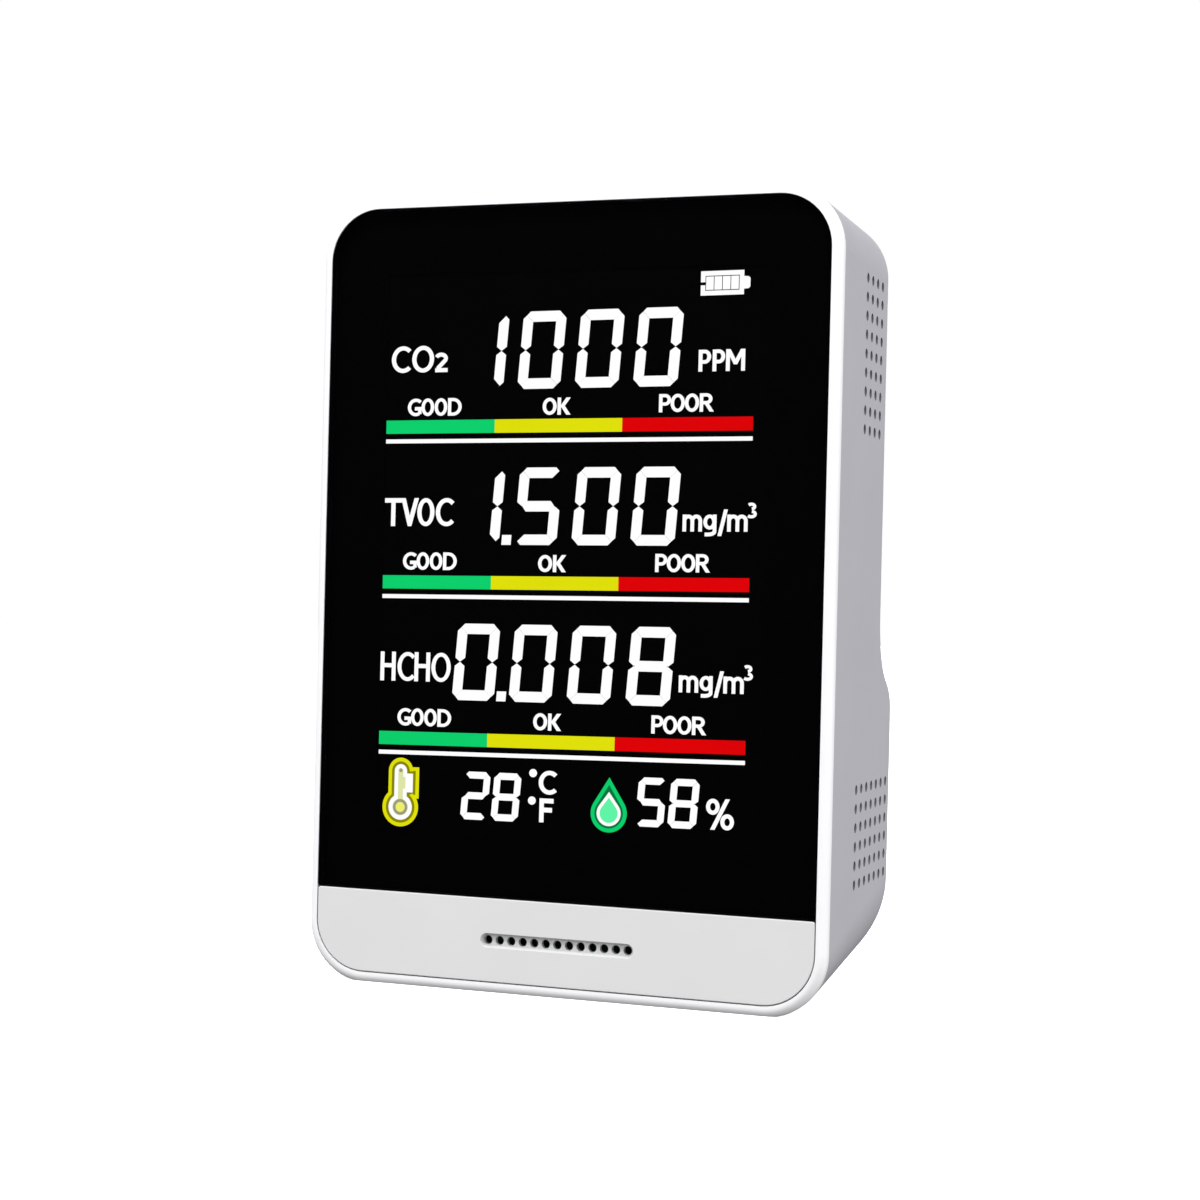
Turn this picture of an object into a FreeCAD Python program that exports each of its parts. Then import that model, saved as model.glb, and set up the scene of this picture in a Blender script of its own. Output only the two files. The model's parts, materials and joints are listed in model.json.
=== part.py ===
import FreeCAD, Part
import math
import os

V = FreeCAD.Vector

# A desk-top air quality monitor, in millimetres.
# X runs to the right of someone facing the screen, Y from the screen to the back, Z up.
# The origin is in the middle of the footprint, on the surface that the monitor stands on.
# Depths are counted from the front face of the bezel towards the back.

# ---- Outline ----
width = 83.0
height = 121.3
depth = 44.1              # front face to the back of the bulge
slim_depth = 35.2         # front face to the back above the bulge
bulge_start = 57.9        # height at which the back begins to swell
bulge_full = 43.2         # height at which the bulge is as deep as it gets
corner = 9.5              # outline corners at the front
roof_back_corner = 9.6    # upper outline corners at the back
heel_back_corner = 18.5   # lower outline corners at the back
roof_fall = 0.9           # how far the roof falls from front to back
foot_depth = 26.0         # flat part of the underside
heel_rise = 13.0          # height of the round between underside and back
back_round = 5.0          # rounding of the edge round the back
base_trim = 0.3           # the outline reaches this far under the flat base, which cuts it off
wall = 1.6

# ---- Front frame ----
bezel = 1.5
bezel_round = 1.4
parting = 2.2             # depth of the joint between front frame and rear shell
panel_thick = 1.5
ledge_front = 1.8
ledge_back = 3.0
skirt_back = 6.0
skirt_thick = 1.1
shell_gap = 0.15          # gap between the skirt and the rear shell
boss_x = 35.2
boss_low = 19.0
boss_high = 113.0
boss_joint = 13.1         # depth at which front and rear screw bosses meet
post_x = 34.7
post_heights = (40.0, 90.0)

# ---- Lens and lower trim ----
panel_gap = 0.15
panel_edge = 0.2          # small round on the front edge of the lens
trim_edge = 0.15          # and of the trim
strip_height = 12.9
strip_gap = 0.15
mask_thick = 0.1
view_half = 30.9          # visible window of the display
view_low = 23.6
view_high = 109.7
slot_length = 24.6
slot_height = 2.2
slot_floor = 1.5          # height of the slot at its floor; its walls slope
slot_sink = 0.7
slot_hole = 1.35
slot_pitch = 1.87
slot_holes = 13

# ---- Display ----
lcd_half = 32.4
lcd_low = 20.9
lcd_high = 112.1
lcd_ledge = 2.6           # bare strip of the rear glass that the pins hold
glass_thick = 0.9
film_thick = 0.2
lcd_front = 1.7
pin_count = 27
pin_pitch = 2.2
pin_side = 0.5
tray_back = 8.2
tray_wall = 1.0
guide_thick = 2.5

# ---- Circuit board ----
board_half = 36.3
board_low = 4.0
board_high = 115.5
board_front = 9.0
board_back = 10.6

# ---- Power button on the roof ----
button_x = 22.0
button_depth = 12.6
button_length = 14.0
button_width = 4.6
button_gap = 0.15
button_top = 121.2
button_flange = 0.8
flange_low = 118.3
flange_high = 119.2
plunger_top = 117.0
plunger_radius = 1.0
plunger_fit = 0.05

# ---- Side vents ----
vent_hole = 1.55
vent_columns_start = 17.0
vent_column_pitch = 3.35
upper_vents = (109.6, 9, 2.86, 4)    # top row, rows, row pitch, columns
lower_vents = (32.2, 6, 2.88, 7)

# ---- Left-hand socket and charge light ----
usb_height = 60.0
usb_depth = 12.3
usb_width = 8.94
usb_thick = 3.26
usb_length = 7.3
led_height = 72.0
led_depth = 11.9
light_pipe_radius = 1.0

# ---- Battery ----
cell_half = 25.0
cell_low = 15.5
cell_high = 45.0
cell_front = 31.0
cell_back = 40.6
lead_height = 52.0
lead_radius = 0.7
plug_back = 18.6

RIGHT = V(1, 0, 0)
BACK = V(0, 1, 0)
UP = V(0, 0, 1)


def at(x, d, z):
    """Point at sideways place x, depth d behind the front face and height z."""
    return V(x, d - depth / 2, z)


def box(x_low, x_high, d_low, d_high, z_low, z_high):
    return Part.makeBox(x_high - x_low, d_high - d_low, z_high - z_low, at(x_low, d_low, z_low))


def rod(x, d, z, radius, length, direction=BACK):
    return Part.makeCylinder(radius, length, at(x, d, z), direction)


def outline(half_width, low, high, low_radius, high_radius, d):
    """Upright rounded rectangle at depth d, with its own radius for lower and upper corners."""
    corners = (
        (half_width - low_radius, low + low_radius, low_radius, -90),
        (half_width - high_radius, high - high_radius, high_radius, 0),
        (high_radius - half_width, high - high_radius, high_radius, 90),
        (low_radius - half_width, low + low_radius, low_radius, 180),
    )

    def on_arc(place, turn):
        x, z, radius, start = place
        angle = math.radians(start + turn)
        return at(x + radius * math.cos(angle), d, z + radius * math.sin(angle))

    edges = []
    for index, place in enumerate(corners):
        following = corners[(index + 1) % 4]
        arc = Part.Arc(on_arc(place, 0), on_arc(place, 45), on_arc(place, 90))
        edges.append(arc.toShape())
        if on_arc(place, 90).distanceToPoint(on_arc(following, 0)) > 0.001:
            edges.append(Part.LineSegment(on_arc(place, 90), on_arc(following, 0)).toShape())
    return Part.Wire(edges)


def plate(half_width, low, high, low_radius, high_radius, d_front, d_back):
    """Rounded rectangle with thickness, standing between two depths."""
    face = Part.Face(outline(half_width, low, high, low_radius, high_radius, d_front))
    return face.extrude(V(0, d_back - d_front, 0))


def turned(shape, axis, angle, x, d, z):
    """The shape, modelled about (0, front face, 0), turned and carried to its place."""
    moved = shape.copy()
    moved.rotate(at(0, 0, 0), axis, angle)
    moved.translate(V(x, d, z))
    return moved


def front_edges(shape, d):
    """Edges of a plate that lie in its front face, at depth d."""
    y = at(0, d, 0).y
    return [edge for edge in shape.Edges if abs(edge.BoundBox.YMin - y) + abs(edge.BoundBox.YMax - y) < 0.001]


def rounded_front(shape, d, radius):
    return shape.makeFillet(radius, front_edges(shape, d))


# ---- Casing ----

def back_profile(inset):
    """Side view of the space under the back: heel round, bulge, flare and slim upper back."""
    back = depth - inset
    slim = slim_depth - inset
    swell = depth - slim_depth
    climb = bulge_start - bulge_full
    flare = (swell * swell + climb * climb) / (4 * swell)
    half_turn = math.asin(climb / 2 / flare) / 2
    ease_d = flare * (1 - math.cos(half_turn))
    ease_z = flare * math.sin(half_turn)
    under = -5.0
    over = height + 5.0
    bulge_bend = at(0, back - ease_d, bulge_full + ease_z)
    slim_bend = at(0, slim + ease_d, bulge_start - ease_z)
    flare_middle = at(0, (back + slim) / 2, (bulge_full + bulge_start) / 2)
    heel_centre = at(0, foot_depth, heel_rise + inset)
    heel_back = at(0, back, heel_rise + inset)
    heel_floor = at(0, foot_depth, inset - base_trim)
    heel = Part.Ellipse(heel_back, heel_floor, heel_centre)
    quarter = Part.ArcOfEllipse(heel, 0, math.pi / 2)
    pieces = [
        Part.LineSegment(at(0, 0, over), at(0, 0, under)),
        Part.LineSegment(at(0, 0, under), at(0, foot_depth, under)),
        Part.LineSegment(at(0, foot_depth, under), heel_floor),
        quarter,
        Part.LineSegment(heel_back, at(0, back, bulge_full)),
        Part.Arc(at(0, back, bulge_full), bulge_bend, flare_middle),
        Part.Arc(flare_middle, slim_bend, at(0, slim, bulge_start)),
        Part.LineSegment(at(0, slim, bulge_start), at(0, slim, over)),
        Part.LineSegment(at(0, slim, over), at(0, 0, over)),
    ]
    return Part.Wire([piece.toShape() for piece in pieces])


def rear_form(inset):
    """Solid inside the rear shell's outer face (inset 0) or inner face (inset of one wall)."""
    half = width / 2 - inset
    low = inset - base_trim
    behind = depth + 2.0
    front_outline = outline(half, low, height - inset, corner - inset, corner - inset, parting)
    back_outline = outline(half, low, height - roof_fall - inset,
                           heel_back_corner - inset, roof_back_corner - inset, behind)
    sides = Part.makeLoft([front_outline, back_outline], True, True)
    profile = Part.Face(back_profile(inset))
    profile.translate(V(-width, 0, 0))
    backs = profile.extrude(V(2 * width, 0, 0))
    body = sides.common(backs).Solids[0]
    body = body.makeFillet(back_round - inset, meeting_edges(body, sides, backs, inset))
    return body.cut(box(-width, width, -depth, 2 * depth, low - 1, inset))


def meeting_edges(body, sides, backs, inset):
    """Edges where the back meets the sides and roof, without the level line on the underside."""
    found = []
    for edge in body.Edges:
        middle = Part.Vertex(edge.valueAt((edge.FirstParameter + edge.LastParameter) / 2))
        on_sides = middle.distToShape(sides.Shells[0])[0] < 0.001
        on_back = middle.distToShape(backs.Shells[0])[0] < 0.001
        if on_sides and on_back and middle.Z > inset:
            found.append(edge)
    return found


def boss_places():
    return [(side * boss_x, z) for side in (-1, 1) for z in (boss_low, boss_high)]


def post_places():
    return [(side * post_x, z) for side in (-1, 1) for z in post_heights]


def front_frame():
    """White bezel ring with the ledge that carries lens and display, skirt, bosses and posts."""
    ring = plate(width / 2, -base_trim, height, corner, corner, 0, parting)
    ring = rounded_front(ring, 0, bezel_round)
    ring = ring.cut(box(-width, width, -1, depth, -1, 0))
    skirt_inset = wall + shell_gap
    skirt_low_corner = corner - 0.5
    skirt = plate(width / 2 - skirt_inset, skirt_inset, height - skirt_inset,
                  skirt_low_corner, corner - skirt_inset, parting, skirt_back)
    hollow_inset = skirt_inset + skirt_thick
    hollow = plate(width / 2 - hollow_inset, hollow_inset, height - hollow_inset,
                   skirt_low_corner - skirt_thick, corner - hollow_inset, ledge_back, skirt_back)
    frame = ring.fuse(skirt).cut(hollow)
    recess = plate(width / 2 - bezel, bezel, height - bezel, corner - bezel, corner - bezel, -1, ledge_front)
    window = box(-lcd_half - 0.3, lcd_half + 0.3, 0, ledge_back, lcd_low - 1.0, lcd_high + 0.3)
    frame = frame.cut(recess).cut(window)
    for x, z in boss_places():
        frame = frame.fuse(rod(x, ledge_back, z, 2.1, boss_joint - 0.1 - ledge_back))
        frame = frame.cut(rod(x, 7.0, z, 1.05, boss_joint - 7.0))
    for x, z in post_places():
        frame = frame.fuse(rod(x, ledge_back, z, 1.7, board_front - ledge_back))
        frame = frame.cut(rod(x, 4.6, z, 0.9, board_front - 4.6))
    slot_way = 2.2
    air_slot = plate(slot_length / 2 + 1.0, strip_middle() - slot_way, strip_middle() + slot_way,
                     slot_way, slot_way, 0, ledge_back)
    frame = frame.cut(air_slot)
    pegs = [rod(x, ledge_front - 0.1, strip_middle(), 0.95, 1.4) for x in peg_places()]
    return frame.cut(pegs).removeSplitter()


def strip_middle():
    return bezel + strip_height / 2


def peg_places():
    return (-33.0, -19.0, 19.0, 33.0)


def vent_holes(side):
    """Round holes through one side wall, in two blocks of rows."""
    holes = []
    for top_row, rows, row_pitch, columns in (upper_vents, lower_vents):
        for row in range(rows):
            for column in range(columns):
                d = vent_columns_start + column * vent_column_pitch
                z = top_row - row * row_pitch
                x = side * (width / 2 - 2 * wall)
                holes.append(rod(x, d, z, vent_hole / 2, 3 * wall, V(side, 0, 0)))
    return holes


def side_slot(half_height, half_depth, middle_height, middle_depth, x_low, x_high):
    """Obround bar running sideways, its long way upright."""
    bar = plate(half_depth, -half_height, half_height, half_depth, half_depth, 0, x_high - x_low)
    return turned(bar, UP, -90, x_low, middle_depth, middle_height)


def roof_slot(half_length, half_width, z_low, z_high):
    """Obround bar standing upright at the power button, its long way sideways."""
    bar = plate(half_length, -half_width, half_width, half_width, half_width, 0, z_high - z_low)
    return turned(bar, RIGHT, 90, button_x, button_depth, z_low)


def rear_shell():
    """Grey back shell: vents, screw wells, battery ribs and the openings for socket, light and button."""
    outer = rear_form(0)
    shell = outer.cut(rear_form(wall))
    inside = []
    for x, z in boss_places():
        inside.append(rod(x, boss_joint, z, 3.5, depth).common(outer))
    for side in (-1, 1):
        x = side * (cell_half + 1.2)
        inside.append(box(x - 0.6, x + 0.6, 34.0, depth, 17.0, 43.0).common(outer))
    inside.append(box(-14.0, 14.0, 34.5, depth, cell_high + 0.3, cell_high + 1.5).common(outer))
    shell = shell.fuse(inside)
    cuts = []
    for x, z in boss_places():
        cuts.append(rod(x, boss_joint - 0.5, z, 1.15, depth))
        cuts.append(rod(x, 21.0, z, 2.3, depth))
    cuts += vent_holes(-1) + vent_holes(1)
    cuts.append(side_slot(usb_width / 2 + 0.25, usb_thick / 2 + 0.25, usb_height, usb_depth,
                          -width / 2 - 1, -width / 2 + 2 * wall))
    cuts.append(rod(-width / 2 - 1, led_depth, led_height, light_pipe_radius + 0.05, 2 * wall + 1, RIGHT))
    cuts.append(roof_slot(button_length / 2 + button_gap, button_width / 2 + button_gap,
                          height - 3 * wall, height + 1))
    return shell.cut(cuts)


# ---- Lens and trim ----

def lens_outline_low():
    return bezel + strip_height + strip_gap / 2


def display_lens():
    """Clear front plate, round at its two upper corners."""
    half = width / 2 - bezel - panel_gap
    lens = plate(half, lens_outline_low(), height - bezel - panel_gap, 0.4,
                 corner - bezel - panel_gap, 0, panel_thick)
    return rounded_front(lens, 0, panel_edge)


def lens_layer(d_front, d_back, half, low, high):
    """Thin layer behind the lens with a square window in it."""
    lens_half = width / 2 - bezel - panel_gap
    layer = plate(lens_half, lens_outline_low(), height - bezel - panel_gap, 0.4,
                  corner - bezel - panel_gap, d_front, d_back)
    return layer.cut(box(-half, half, d_front - 1, d_back + 1, low, high))


def lower_trim():
    """Light grey strip under the lens, with a sunk slot, a row of air holes and four pegs."""
    half = width / 2 - bezel - panel_gap
    strip = plate(half, bezel + panel_gap, bezel + strip_height - strip_gap / 2,
                  corner - bezel - panel_gap, 0.4, 0, panel_thick)
    strip = rounded_front(strip, 0, trim_edge)
    middle = strip_middle()
    slope = (slot_height - slot_floor) / 2
    rims = []
    for d, grow in ((-slot_sink, slope), (slot_sink, -slope)):
        half_height = slot_height / 2 + grow
        rims.append(outline(slot_length / 2 + grow, middle - half_height, middle + half_height,
                            half_height, half_height, d))
    strip = strip.cut(Part.makeLoft(rims, True, True))
    first = -slot_pitch * (slot_holes - 1) / 2
    strip = strip.cut([rod(first + i * slot_pitch, 0, middle, slot_hole / 2, 2) for i in range(slot_holes)])
    return strip.fuse([rod(x, panel_thick, middle, 0.85, ledge_back - panel_thick) for x in peg_places()])


# ---- Display ----

def lcd_layers():
    """Front film, front glass, rear glass with its pin ledge, rear film and colour film."""
    front_low = lcd_low + lcd_ledge
    stack = (
        ("lcd_front_film", film_thick, front_low),
        ("lcd_front_glass", glass_thick, front_low),
        ("lcd_rear_glass", glass_thick, lcd_low),
        ("lcd_rear_film", film_thick, front_low),
        ("lcd_colour_film", film_thick, front_low),
    )
    layers = {}
    d = lcd_front
    for name, thick, low in stack:
        half = lcd_half if "glass" in name else lcd_half - 0.6
        high = lcd_high if "glass" in name else lcd_high - 0.6
        layers[name] = box(-half, half, d, d + thick, low, high)
        d += thick
    return layers


def guide_front():
    return lcd_front + 2 * glass_thick + 3 * film_thick + 0.05


def light_guide():
    return box(-lcd_half + 3.2, lcd_half - tray_wall - 0.1, guide_front(), guide_front() + guide_thick,
               lcd_low + lcd_ledge + 1.1, lcd_high - tray_wall - 0.2)


def backlight_tray():
    """White tray behind the display, open at the front, with four feet against the board."""
    low = lcd_low + lcd_ledge
    tray = box(-lcd_half, lcd_half, guide_front(), tray_back, low, lcd_high - 0.1)
    pocket = box(-lcd_half + tray_wall, lcd_half - tray_wall,
                 guide_front(), guide_front() + guide_thick + 0.05,
                 low + tray_wall, lcd_high - 0.1 - tray_wall)
    tray = tray.cut(pocket)
    feet = [rod(x, tray_back, z, 1.5, board_front - tray_back) for x in (-26.0, 26.0) for z in (30.0, 104.0)]
    return tray.fuse(feet)


def backlight_leds():
    """Side-firing lamps along the edge of the light guide."""
    lamps = []
    for index in range(6):
        z = 32.0 + index * 14.0
        lamps.append(box(-lcd_half + tray_wall + 0.1, -lcd_half + 3.1, guide_front() + 0.4,
                         guide_front() + 1.9, z - 1.75, z + 1.75))
    return Part.Compound(lamps)


def lcd_pin_x():
    first = -pin_pitch * (pin_count - 1) / 2
    return [first + index * pin_pitch for index in range(pin_count)]


def lcd_pins():
    """Row of square pins from the ledge of the rear glass through the board."""
    half = pin_side / 2
    glass_front = lcd_front + film_thick + glass_thick
    pins = []
    for x in lcd_pin_x():
        pin = box(x - half, x + half, glass_front, board_back + 0.8, lcd_low - pin_side, lcd_low)
        pins.append(pin)
    return Part.Compound(pins)


# ---- Circuit board ----

def main_board():
    board = plate(board_half, board_low, board_high, 7.5, 3.0, board_front, board_back)
    cuts = []
    for side in (-1, 1):
        edge = sorted((side * (boss_x - 3.7), side * (board_half + 1)))
        cuts.append(box(edge[0], edge[1], board_front - 1, board_back + 1, boss_high - 3.5, board_high + 1))
        cuts.append(rod(side * boss_x, board_front - 1, boss_low, 3.7, 4))
    cuts += [rod(x, board_front - 1, z, 0.95, 4) for x, z in post_places()]
    cuts += [rod(x, board_front - 1, lcd_low - pin_side / 2, 0.45, 4) for x in lcd_pin_x()]
    cuts.append(roof_slot(1.6, 1.2, board_high - 0.8, board_high + 1))
    return board.cut(cuts)


def chip(x, z, size, thick, leads, pitch):
    """Square flat package with gull-wing leads on its four sides."""
    half = size / 2
    body = box(x - half, x + half, board_back + 0.1, board_back + 0.1 + thick, z - half, z + half)
    first = -pitch * (leads - 1) / 2
    legs = []
    for index in range(leads):
        along = first + index * pitch
        for side in (-1, 1):
            near = min(side * half, side * (half + 0.9))
            legs.append(box(x + near, x + near + 0.9, board_back, board_back + 0.3,
                            z + along - 0.11, z + along + 0.11))
            legs.append(box(x + along - 0.11, x + along + 0.11, board_back, board_back + 0.3,
                            z + near, z + near + 0.9))
    return body.fuse(legs)


def small_parts(places, length, thick, tall):
    return Part.Compound([
        box(x - length / 2, x + length / 2, board_back, board_back + tall, z - thick / 2, z + thick / 2)
        for x, z in places
    ])


def power_inductor():
    """Square choke with a round sink in its back."""
    x = -8.0
    z = 76.0
    half = 3.0
    body = plate(half, z - half, z + half, 1.2, 1.2, board_back, board_back + 2.8)
    body.translate(V(x, 0, 0))
    return body.cut(rod(x, board_back + 2.2, z, 1.8, 1))


def buzzer():
    """Round sounder with its sound hole."""
    x = 20.0
    z = 34.0
    return rod(x, board_back, z, 4.5, 4.0).cut(rod(x, board_back + 2.0, z, 0.8, 3))


# ---- Gas and climate sensors ----

def co2_sensor():
    """Gold-coloured optical chamber on its own small board, with a filter patch and pins."""
    low = 82.0
    high = 104.0
    half = 16.5
    board = box(-half, half, 14.0, 15.0, low, high)
    case = plate(half - 1.0, low + 1.5, high - 1.5, 2.0, 2.0, 15.0, 23.0)
    case = case.makeFillet(0.8, front_edges(case, 23.0))
    case = case.cut(plate(11.0, 89.0, 97.0, 1.0, 1.0, 22.4, 24.0))
    patch = plate(10.9, 89.1, 96.9, 0.9, 0.9, 22.4, 22.9)
    pins = []
    for side in (-1, 1):
        for index in range(5):
            x = side * (half - 0.9)
            z = low + 5.0 + index * 2.54
            pins.append(box(x - 0.3, x + 0.3, board_back, 14.0, z - 0.3, z + 0.3))
    return {
        "co2_sensor_board": board,
        "co2_sensor_case": case,
        "co2_sensor_filter": patch,
        "co2_sensor_pins": Part.Compound(pins),
    }


def formaldehyde_sensor():
    """Flat electrochemical cell with a round gas window, standing on three pins."""
    x = 22.0
    z = 66.0
    body = rod(x, 13.0, z, 8.5, 4.5)
    rims = [edge for edge in body.Edges if edge.BoundBox.DiagonalLength > 20 and edge.Closed]
    body = body.makeFillet(0.6, rims)
    body = body.cut(rod(x, 17.0, z, 4.0, 1))
    window = rod(x, 17.0, z, 3.9, 0.4)
    legs = ((0, 5), (-4.3, -2.5), (4.3, -2.5))
    pins = [rod(x + dx, board_back, z + dz, 0.4, 13.0 - board_back) for dx, dz in legs]
    return {
        "formaldehyde_cell": body,
        "formaldehyde_window": window,
        "formaldehyde_pins": Part.Compound(pins),
    }


def voc_sensor():
    """Metal can with a perforated cap on a plastic base."""
    x = -24.0
    z = 76.0
    base = rod(x, board_back, z, 4.7, 1.4)
    can = rod(x, board_back + 1.4, z, 4.1, 5.6)
    can = can.cut(rod(x, board_back + 1.3, z, 3.8, 5.2))
    holes = [rod(x + 1.8 * math.cos(math.radians(60 * i)), board_back + 6.0,
                 z + 1.8 * math.sin(math.radians(60 * i)), 0.5, 2) for i in range(6)]
    return {"voc_sensor_base": base, "voc_sensor_can": can.cut(holes)}


def climate_sensor():
    """Small square sensor with a round opening."""
    x = -30.0
    z = 30.0
    half = 1.5
    body = box(x - half, x + half, board_back, board_back + 1.1, z - half, z + half)
    return body.cut(rod(x, board_back + 0.6, z, 0.6, 1))


# ---- Power: battery, socket, light ----

def battery_cell():
    """Flat pouch cell, lying against the back inside the bulge."""
    cell = plate(cell_half, cell_low, cell_high, 1.2, 1.2, cell_front, cell_back)
    long_edges = front_edges(cell, cell_front) + front_edges(cell, cell_back)
    return cell.makeFillet(1.0, long_edges)


def battery_foam():
    return box(-18.0, 18.0, cell_back, depth - wall, cell_low + 5.0, cell_high - 4.0)


def battery_socket():
    """Two-way wire-to-board header, open at the back."""
    body = box(-4.0, 4.0, board_back, board_back + 6.0, lead_height - 2.5, lead_height + 2.5)
    mouth = box(-3.2, 3.2, board_back + 1.2, board_back + 7.0, lead_height - 1.7, lead_height + 1.7)
    return body.cut(mouth)


def battery_plug():
    return box(-3.1, 3.1, board_back + 1.3, plug_back, lead_height - 1.6, lead_height + 1.6)


def battery_lead(x):
    """One wire from the top of the cell to the plug: up, round a bend and forward."""
    bend = 6.0
    d_cell = cell_front + 1.5
    start = at(x, d_cell, cell_high)
    bend_start = at(x, d_cell, lead_height - bend)
    bend_middle = at(x, d_cell - bend * (1 - math.sqrt(0.5)), lead_height - bend * (1 - math.sqrt(0.5)))
    bend_end = at(x, d_cell - bend, lead_height)
    path = Part.Wire([
        Part.LineSegment(start, bend_start).toShape(),
        Part.Arc(bend_start, bend_middle, bend_end).toShape(),
        Part.LineSegment(bend_end, at(x, plug_back, lead_height)).toShape(),
    ])
    section = Part.Face(Part.Wire([Part.makeCircle(lead_radius, start, UP)]))
    return path.makePipe(section)


def usb_socket():
    """Steel sleeve and plastic tongue of the charging socket, opening to the left."""
    x_open = -width / 2 + 0.3
    outer = side_slot(usb_width / 2, usb_thick / 2, usb_height, usb_depth, x_open, x_open + usb_length)
    inner = side_slot(usb_width / 2 - 0.3, usb_thick / 2 - 0.3, usb_height, usb_depth,
                      x_open - 1, x_open + usb_length - 0.8)
    tongue = box(x_open + 0.9, x_open + usb_length - 0.8, usb_depth - 0.35, usb_depth + 0.35,
                 usb_height - 3.35, usb_height + 3.35)
    return {"usb_socket_sleeve": outer.cut(inner), "usb_socket_tongue": tongue}


def charge_light():
    """Small lamp on the board and the clear pipe that brings its light through the left wall."""
    lamp = box(-35.4, -33.8, board_back, board_back + 2.4, led_height - 0.8, led_height + 0.8)
    pipe = rod(-width / 2 + 0.05, led_depth, led_height, light_pipe_radius, width / 2 - 35.6, RIGHT)
    collar = rod(-width / 2 + wall + 0.1, led_depth, led_height, light_pipe_radius + 0.3, 0.8, RIGHT)
    return {"charge_lamp": lamp, "light_pipe": pipe.fuse(collar)}


# ---- Power button ----

def power_button():
    """Obround cap that stands in the roof, with a retaining flange and a stem on the switch."""
    cap = roof_slot(button_length / 2, button_width / 2, flange_high - 0.2, button_top)
    rim = [edge for edge in cap.Edges if edge.BoundBox.ZMin > button_top - 0.01]
    cap = cap.makeFillet(0.3, rim)
    flange = roof_slot(button_length / 2 + button_flange, button_width / 2 + button_flange,
                       flange_low, flange_high)
    stem = roof_slot(2.2, 1.3, plunger_top, flange_low + 0.1)
    return cap.fuse([flange, stem]).removeSplitter()


def power_switch():
    """Side-pressed switch at the top edge of the board: housing with a bore and its plunger."""
    low = board_high - 5.0
    high = board_high - 0.9
    housing = box(button_x - 3.6, button_x + 3.6, board_back, board_back + 3.9, low, high)
    floor = low + 0.8
    bore = rod(button_x, button_depth, floor, plunger_radius + plunger_fit, high - floor + 1, UP)
    plunger = rod(button_x, button_depth, floor + 0.7, plunger_radius, plunger_top - floor - 0.7, UP)
    return {"power_switch_housing": housing.cut(bore), "power_switch_plunger": plunger}


# ---- Fasteners ----

def screw(x, z, head_depth, head_radius, head_thick, shank_radius, shank_length):
    """Pan-head screw driven from the back, with a cross recess."""
    head = rod(x, head_depth, z, head_radius, head_thick)
    rim = [edge for edge in head.Edges if edge.Closed and edge.BoundBox.YMin > at(0, head_depth, 0).y + 0.1]
    head = head.makeFillet(head_thick * 0.4, rim)
    slot = 0.3 * head_radius
    arm = 1.1 * slot + 0.45 * head_radius
    recess_front = head_depth + 0.45 * head_thick
    recess_back = head_depth + head_thick + 1
    recess = [
        box(x - arm, x + arm, recess_front, recess_back, z - slot / 2, z + slot / 2),
        box(x - slot / 2, x + slot / 2, recess_front, recess_back, z - arm, z + arm),
    ]
    shank = rod(x, head_depth - shank_length, z, shank_radius, shank_length)
    point = Part.makeCone(0.3, shank_radius, 0.8, at(x, head_depth - shank_length - 0.8, z), BACK)
    return head.cut(recess).fuse([shank, point])


def housing_screws():
    return Part.Compound([screw(x, z, 21.0, 2.0, 1.5, 1.0, 12.5) for x, z in boss_places()])


def board_screws():
    return Part.Compound([screw(x, z, board_back, 1.6, 1.1, 0.85, 4.8) for x, z in post_places()])


# ---- All pieces ----

def all_nodes():
    nodes = {
        "front_frame": front_frame(),
        "rear_shell": rear_shell(),
        "display_lens": display_lens(),
        "lens_mask": lens_layer(panel_thick, panel_thick + mask_thick, view_half, view_low, view_high),
        "lens_tape": lens_layer(panel_thick + mask_thick, ledge_front, lcd_half + 0.3,
                                lcd_low - 1.0, lcd_high + 0.3),
        "lower_trim": lower_trim(),
        "light_guide": light_guide(),
        "backlight_tray": backlight_tray(),
        "backlight_leds": backlight_leds(),
        "lcd_pins": lcd_pins(),
        "main_board": main_board(),
        "microcontroller": chip(-6.0, 42.0, 7.0, 1.4, 12, 0.5),
        "charger_chip": chip(-22.0, 60.0, 4.0, 0.9, 5, 0.65),
        "memory_chip": chip(10.0, 42.0, 3.9, 1.4, 4, 0.8),
        "power_inductor": power_inductor(),
        "clock_crystal": small_parts([(-17.0, 42.0)], 3.2, 2.5, 0.8),
        "board_capacitors": small_parts([(-13.0 + 4.0 * i, 31.0) for i in range(6)]
                                        + [(-28.0, 66.0), (-28.0, 54.0), (-16.0, 66.0)], 2.0, 1.25, 1.2),
        "board_resistors": small_parts([(-14.0 + 3.0 * i, 48.0) for i in range(7)]
                                       + [(14.0 + 3.0 * i, 54.0) for i in range(4)], 1.6, 0.8, 0.5),
        "buzzer": buzzer(),
        "climate_sensor": climate_sensor(),
        "battery_cell": battery_cell(),
        "battery_foam": battery_foam(),
        "battery_socket": battery_socket(),
        "battery_plug": battery_plug(),
        "battery_wire_red": battery_lead(1.3),
        "battery_wire_black": battery_lead(-1.3),
        "power_button": power_button(),
        "housing_screws": housing_screws(),
        "board_screws": board_screws(),
    }
    nodes.update(lcd_layers())
    nodes.update(co2_sensor())
    nodes.update(formaldehyde_sensor())
    nodes.update(voc_sensor())
    nodes.update(usb_socket())
    nodes.update(charge_light())
    nodes.update(power_switch())
    return nodes


os.makedirs("parts", exist_ok=True)
for name, shape in all_nodes().items():
    shape.exportStep("parts/" + name + ".step")
    state = "ok" if shape.isValid() else "NOT VALID"
    print(name, len(shape.Solids), "solid(s)", round(shape.Volume, 1), "mm3", state)
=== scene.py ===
import json
import math

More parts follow.
